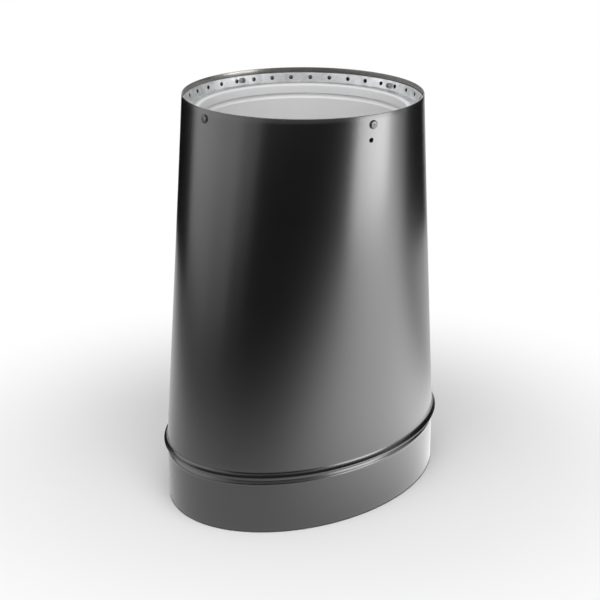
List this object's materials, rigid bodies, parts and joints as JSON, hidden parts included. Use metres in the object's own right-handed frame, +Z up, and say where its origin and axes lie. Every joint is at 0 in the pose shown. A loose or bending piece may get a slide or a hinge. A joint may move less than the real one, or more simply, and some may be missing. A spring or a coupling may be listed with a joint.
{
  "type": "oval-to-round flue adapter",
  "caption": "Straight double-wall stovepipe adapter: oval collar and spigot below, tapered black shell, perforated spacer rings, and a round stainless flue socket on top.",
  "frame": {"origin": "centre of the oval collar's bottom edge, on the flue's axis", "axes": "+Z up along the flue towards the round end, X along the oval's long way, Y across it"},
  "size_m": [0.247, 0.1834, 0.3048],
  "materials": {
    "satin_black": "smooth satin black heat-resistant paint on thin steel sheet",
    "galvanised": "bright galvanised sheet with a fine spangle",
    "stainless": "dull mill-finish stainless sheet",
    "painted_rivet": "steel rivet under the shell's satin black paint",
    "steel_rivet": "plain stainless rivet",
    "mandrel_steel": "broken-off steel mandrel"
  },
  "bodies": {
    "root": {"outer_shell": "satin_black", "oval_collar": "satin_black", "top_spacer_ring": "galvanised", "bottom_spacer_ring": "galvanised", "inner_sleeve": "stainless", "inner_liner": "stainless", "oval_spigot": "stainless", "top_rivets": "painted_rivet", "top_rivet_mandrels": "mandrel_steel", "spigot_rivets": "steel_rivet", "spigot_rivet_mandrels": "mandrel_steel"}
  },
  "joints": []
}
